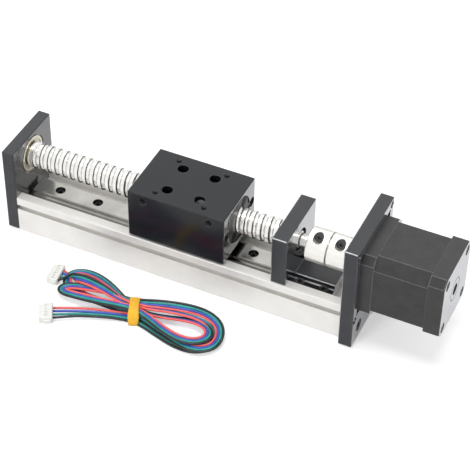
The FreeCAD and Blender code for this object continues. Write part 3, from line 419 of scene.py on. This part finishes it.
def wire_rings(centres, rolls, wire):
    """Rings of points round one of the four wires, from end to end."""
    count = len(centres)
    radius = WIRE / 2 * MM
    offset = (1.5 - wire) * (LEAD_WIDTH - WIRE) / 3 * MM
    rings = []
    for i, (centre, roll) in enumerate(zip(centres, rolls)):
        tangent = (centres[min(i + 1, count - 1)] - centres[max(i - 1, 0)]).normalized()
        across = Vector((0, 0, 1)).cross(tangent).normalized()
        above = tangent.cross(across).normalized()
        side = across * math.cos(roll) + above * math.sin(roll)
        top = above * math.cos(roll) - across * math.sin(roll)
        from_start = i / (count - 1)
        open_out = (1.0 + DRIVER_FAN * max(0.0, 1 - from_start / DRIVER_FAN_SHARE)
                    + MOTOR_FAN * max(0.0, 1 - (1 - from_start) / MOTOR_FAN_SHARE))
        # each wire lies a little uneven along the lead
        wander = 0.16 * MM * math.sin(i * 0.11 + wire * 2.1) + 0.10 * MM * math.sin(i * 0.047 + wire * 4.3)
        middle = centre + side * offset * open_out + top * wander
        middle.z = max(middle.z, radius * 1.02)
        angles = [2 * math.pi * s / WIRE_SIDES for s in range(WIRE_SIDES)]
        rings.append([middle + (side * math.cos(angle) + top * math.sin(angle)) * radius for angle in angles])
    return rings


def make_lead():
    centres = lead_centres()
    rolls = lead_rolls(len(centres))
    build = bmesh.new()
    for wire in range(len(wire_finishes)):
        rings = [[build.verts.new(point) for point in ring] for ring in wire_rings(centres, rolls, wire)]
        for first, second in zip(rings, rings[1:]):
            for s in range(WIRE_SIDES):
                t = (s + 1) % WIRE_SIDES
                face = build.faces.new((first[s], first[t], second[t], second[s]))
                face.material_index = wire
                face.smooth = True
        for ring in (rings[0][::-1], rings[-1]):
            build.faces.new(ring).material_index = wire
    lead = mesh_piece("motor_lead_wires", build, wire_finishes[0])
    for finish in wire_finishes[1:]:
        lead.data.materials.append(finish)
    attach(lead, "frame")
    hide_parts("motor_lead_hank", "motor_lead_tails")
    return lead, centres


lead, lead_line = make_lead()


# Strap round the lead's waist: soft, rounded and a little creased
STRAP_MIDDLE = (101.6, -55.0)
STRAP_TURN = math.radians(22.0)
STRAP_HALF = 8.5
STRAP_TOP = 8.9
STRAP_WALL = 0.8
STRAP_WIDTH = 5.9
STRAP_STEPS = 48
STRAP_SQUARENESS = 2 / 3.0
# The strap's section, as shares of its width and of its wall
STRAP_SECTION = [(-0.5, 0.0), (-0.5, 0.5), (-0.46, 0.9), (-0.36, 1.0), (-0.12, 1.06), (0.12, 1.04), (0.36, 1.0),
                 (0.46, 0.9), (0.5, 0.5), (0.5, 0.0)]


def make_tie():
    centre_x, centre_y = STRAP_MIDDLE
    turn_c, turn_s = math.cos(STRAP_TURN), math.sin(STRAP_TURN)
    rings = []
    for i in range(STRAP_STEPS + 1):
        angle = math.pi * i / STRAP_STEPS
        c, s = math.cos(angle), math.sin(angle)
        out_y = math.copysign(abs(c) ** STRAP_SQUARENESS, c)
        out_z = s ** STRAP_SQUARENESS if s > 1e-6 else 0.0
        crease = 0.10 * math.sin(9.0 * angle) + 0.06 * math.sin(17.0 * angle + 1.0)
        ring = []
        for share, thick in STRAP_SECTION:
            grow = STRAP_WALL * thick + crease * thick - STRAP_WALL
            x = share * STRAP_WIDTH + 0.25 * math.sin(3.1 * angle) * (1 if share > 0 else -1)
            y = out_y * (STRAP_HALF + grow)
            z = out_z * (STRAP_TOP + grow)
            ring.append(place(centre_x + x * turn_c - y * turn_s, centre_y + x * turn_s + y * turn_c, max(z, 0.0)))
        rings.append(ring)
    build = bmesh.new()
    closed_grid(build, rings, False)
    tie = mesh_piece("lead_strap", build, finishes["tie_orange"])
    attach(tie, "frame")
    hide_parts("motor_lead_tie")


make_tie()


# Tapped threads in the carriage's holes, bare metal where the tap cut through the black skin, coloured dark as
# painted shade inside the holes
CARRIAGE_MIDDLE_X = 109.9 + 0.5
CARRIAGE_TOP = 57.6
CARRIAGE_HALF_Y = 20.6
TOP_HOLE_HALF = 15.0
TOP_HOLE_RADIUS, TOP_HOLE_PITCH = 1.65, 0.7
SIDE_HOLE_HALF, SIDE_HOLE_DROP = 20.5, 5.1
SIDE_HOLE_RADIUS, SIDE_HOLE_PITCH = 2.1, 0.8
THREAD_START, THREAD_END = 0.5, 6.0
THREAD_GAP = 0.02
THREAD_BACK_GAP = 0.004
THREAD_DEPTH = 0.26
THREAD_STEPS = 28
ROWS_PER_PITCH = 6


def carriage_holes():
    """Mouth, direction inwards, radius and pitch of each tapped hole."""
    corners = [(a, b) for a in (-1, 1) for b in (-1, 1)]
    top = [((CARRIAGE_MIDDLE_X + a * TOP_HOLE_HALF, b * TOP_HOLE_HALF, CARRIAGE_TOP), (0, 0, -1),
            TOP_HOLE_RADIUS, TOP_HOLE_PITCH) for a, b in corners]
    side = [((CARRIAGE_MIDDLE_X + a * SIDE_HOLE_HALF, b * CARRIAGE_HALF_Y, CARRIAGE_TOP - SIDE_HOLE_DROP),
             (0, -b, 0), SIDE_HOLE_RADIUS, SIDE_HOLE_PITCH) for a, b in corners]
    return top + side


def make_threads():
    angles = [2 * math.pi * j / THREAD_STEPS for j in range(THREAD_STEPS)]
    for number, (mouth, inwards, radius, pitch) in enumerate(carriage_holes()):
        axis = Vector(inwards)
        side = Vector((1, 0, 0))
        other = axis.cross(side)
        centre = place(*mouth)
        rows = int((THREAD_END - THREAD_START) / pitch * ROWS_PER_PITCH)
        profile = []
        for i in range(rows + 1):
            along = THREAD_START + (THREAD_END - THREAD_START) * i / rows
            ring = []
            for j, angle in enumerate(angles):
                phase = (along / pitch - j / THREAD_STEPS) % 1.0
                cut = 1.0 - abs(2 * phase - 1.0)
                r = radius - THREAD_GAP - THREAD_DEPTH * min(1.0, 1.3 * cut)
                ring.append(centre + (axis * along + (side * math.cos(angle) + other * math.sin(angle)) * r) * MM)
            profile.append(ring)
        back = radius - THREAD_BACK_GAP
        for along in (THREAD_END, THREAD_START):
            profile.append([centre + (axis * along + (side * math.cos(angle) + other * math.sin(angle)) * back) * MM
                            for angle in angles])
        build = bmesh.new()
        closed_grid(build, profile, True)
        thread = mesh_piece("carriage_thread_" + str(number + 1), build, finishes["bare_thread_in_painted_shade"])
        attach(thread, "carriage")


make_threads()


# Ball screw, made finer than the CAD solid: a rounded ball groove rolled into a bright bar, with painted shade as
# dark bands on the groove's steep edges
SCREW_LEAD = 5.0
SCREW_RADIUS = 7.7
THREAD_FROM, THREAD_TO = 10.4, 166.8
FIRST_TURN = 2.65
GROOVE_FADE = 1.2
GROOVE_HALF = 1.44
BALL_RADIUS, BALL_SHIFT, BALL_SINK = 1.65, 0.15, 0.493
# where across the groove the dark bands of painted shade lie
FLANK_FROM, FLANK_TO = 1.12, 1.46
PER_TURN = 80
PER_LEAD = 40
# Plain ends as in the CAD solid, as X and radius
SCREW_ENDS = [
    [(0.5, 0.0), (0.5, 4.5), (1.0, 5.0), (8.0, 5.0), (8.0, 7.3), (8.4, 7.7), (THREAD_FROM, 7.7)],
    [(THREAD_TO, 7.7), (167.6, 6.5), (169.8, 6.5), (169.8, 5.0), (177.3, 5.0), (177.3, 4.0),
     (195.0, 4.0), (195.4, 3.6), (195.4, 0.0)],
]


def groove_profile():
    """The groove's depth over one lead, from the middle of one land to the next."""
    profile = []
    for i in range(PER_LEAD):
        s = -SCREW_LEAD / 2 + SCREW_LEAD * i / PER_LEAD
        off = abs(s)
        depth = 0.0
        if off < GROOVE_HALF:
            depth = max(0.0, math.sqrt(BALL_RADIUS ** 2 - (off + BALL_SHIFT) ** 2) - BALL_SINK)
        profile.append((s, depth))
    return profile


def make_screw():
    profile = groove_profile()
    turns = int((THREAD_TO - FIRST_TURN) / SCREW_LEAD) + 2
    build = bmesh.new()
    rows = []
    for turn in range(turns):
        for s, depth in profile:
            row = []
            for j in range(PER_TURN + 1):
                angle = 2 * math.pi * j / PER_TURN
                x = FIRST_TURN + turn * SCREW_LEAD + SCREW_LEAD / 2 + s + SCREW_LEAD * j / PER_TURN
                fade = min(1.0, max(0.0, (x - THREAD_FROM) / GROOVE_FADE), max(0.0, (THREAD_TO - x) / GROOVE_FADE))
                x = min(max(x, THREAD_FROM), THREAD_TO)
                radius = SCREW_RADIUS - depth * fade
                # a right hand groove climbs towards +X as it turns from +Y to +Z
                row.append(build.verts.new(place(x, radius * math.cos(angle), radius * math.sin(angle) + AXIS_Z)))
            rows.append(row)
    for number, (a, b) in enumerate(zip(rows, rows[1:])):
        # faces on the groove's steep edges take the dark finish, as painted shade
        middle = abs(profile[number % PER_LEAD][0] + SCREW_LEAD / PER_LEAD / 2)
        shaded_flank = 1 if FLANK_FROM < middle < FLANK_TO else 0
        for j in range(PER_TURN):
            build.faces.new((a[j], a[j + 1], b[j + 1], b[j])).material_index = shaded_flank
    for outline in SCREW_ENDS:
        rings = []
        for x, radius in outline:
            angles = [2 * math.pi * j / PER_TURN for j in range(PER_TURN)]
            rings.append([build.verts.new(place(x, radius * math.cos(angle), radius * math.sin(angle) + AXIS_Z))
                          for angle in angles])
        for a, b in zip(rings, rings[1:]):
            for j in range(PER_TURN):
                k = (j + 1) % PER_TURN
                build.faces.new((a[j], a[k], b[k], b[j]))
    bmesh.ops.remove_doubles(build, verts=build.verts, dist=0.000004)
    bmesh.ops.dissolve_degenerate(build, edges=build.edges, dist=0.000002)
    bmesh.ops.recalc_face_normals(build, faces=build.faces)
    for face in build.faces:
        face.smooth = True
    for edge in build.edges:
        edge.smooth = not (edge.is_manifold and edge.calc_face_angle(0) > math.radians(38))
    mesh = bpy.data.meshes.new("screw_thread")
    build.to_mesh(mesh)
    build.free()
    mesh.materials.append(finishes["screw_steel"])
    mesh.materials.append(finishes["screw_flank_painted_shade"])
    screw = linked_object("ball_screw_thread", mesh)
    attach(screw, "screw")
    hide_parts("ball_screw")


make_screw()


# Each CAD node wears the finish of its slot, apart from these
OWN_FINISH = {"carriage_block": "carriage_black", "fixed_bearing_bracket": "plate_black_highlit_edges",
              # the plates' finish carries strong pale edges, mostly painted highlight
              "motor_plate": "plate_black_highlit_edges", "ball_nut": "nut_steel", "bearing_lock_nut": "black_and_painted_shade",
              # the bearing lock nut is near black as painted shade in the bracket's bore
              "ball_return_deflectors": "black_and_painted_shade", "coupling_clamp_screws": "worn_black",
              "bracket_foot_screws": "worn_black", "rail_block_screws": "bright_screws"}


def dress():
    for name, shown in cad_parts.items():
        slot = shown.data.materials[0].name
        shown.data.materials.clear()
        shown.data.materials.append(finishes[OWN_FINISH.get(name, slot.split(".")[0])])


dress()


# Floor, world and lamps
FLOOR_HALF = 3.0
FLOOR_DROP = 0.0002
FLOOR_COLOURS = (0.80, 0.80, 0.805), (0.82, 0.82, 0.825)
FLOOR_GLOW = 0.45
MIRRORED_GLOW = 0.2
WORLD_DIFFUSE = 0.4
WHITE = (1.0, 1.0, 1.0, 1.0)


def floor_finish():
    """A pale floor that keeps shadows and glows to the camera, and less in reflections."""
    material = bpy.data.materials.new("floor_white")
    material.use_nodes = True
    tree = material.node_tree
    tree.nodes.clear()
    out = node(tree, "ShaderNodeOutputMaterial")
    diffuse = node(tree, "ShaderNodeBsdfDiffuse")
    tree.links.new(ramp(tree, noise(tree, even(40.0)), *FLOOR_COLOURS), diffuse.inputs["Color"])
    path = node(tree, "ShaderNodeLightPath")
    glow = node(tree, "ShaderNodeEmission")
    glow.inputs["Color"].default_value = WHITE
    seen = combine(tree, "MULTIPLY", path.outputs["Is Camera Ray"], FLOOR_GLOW)
    mirrored = combine(tree, "MULTIPLY", path.outputs["Is Glossy Ray"], MIRRORED_GLOW)
    tree.links.new(combine(tree, "ADD", seen, mirrored), glow.inputs["Strength"])
    both = node(tree, "ShaderNodeAddShader")
    tree.links.new(diffuse.outputs[0], both.inputs[0])
    tree.links.new(glow.outputs[0], both.inputs[1])
    tree.links.new(both.outputs[0], out.inputs["Surface"])
    return material


def make_floor():
    mesh = bpy.data.meshes.new("floor")
    build = bmesh.new()
    signs = ((-1, -1), (1, -1), (1, 1), (-1, 1))
    build.faces.new([build.verts.new((a * FLOOR_HALF, b * FLOOR_HALF, 0.0)) for a, b in signs])
    build.to_mesh(mesh)
    build.free()
    floor = linked_object("floor", mesh)
    floor.location.z = -FLOOR_DROP
    mesh.materials.append(floor_finish())


def make_world():
    """White to the camera and in reflections, and dimmer where it lights the part."""
    world = bpy.data.worlds.new("studio")
    bpy.context.scene.world = world
    world.use_nodes = True
    tree = world.node_tree
    background = tree.nodes["Background"]
    background.inputs["Color"].default_value = WHITE
    path = node(tree, "ShaderNodeLightPath")
    straight = combine(tree, "ADD", path.outputs["Is Camera Ray"], path.outputs["Is Transmission Ray"], True)
    seen = combine(tree, "ADD", straight, path.outputs["Is Glossy Ray"], True)
    lit = combine(tree, "MULTIPLY", combine(tree, "SUBTRACT", 1.0, seen), WORLD_DIFFUSE)
    tree.links.new(combine(tree, "ADD", seen, lit), background.inputs["Strength"])


LAMP_TARGET = (0.0, 0.0, 0.03)


def lamp(name, where, size, watts, mirrored=True):
    data = bpy.data.lights.new(name, "AREA")
    data.shape = "RECTANGLE"
    data.size, data.size_y = size
    data.energy = watts
    light = linked_object(name, data)
    light.location = where
    light.rotation_mode = "QUATERNION"
    light.rotation_quaternion = (Vector(LAMP_TARGET) - Vector(where)).to_track_quat("-Z", "Y")
    light.visible_glossy = mirrored


make_floor()
make_world()
lamp("overhead", (0.0, -0.05, 1.0), (0.6, 0.4), 4.2)
lamp("fill", (-0.35, -1.3, 0.8), (0.5, 0.22), 9.0, mirrored=False)
lamp("behind", (-0.4, 0.85, 0.85), (1.3, 0.8), 1.8)

bpy.context.scene.view_settings.view_transform = "Standard"
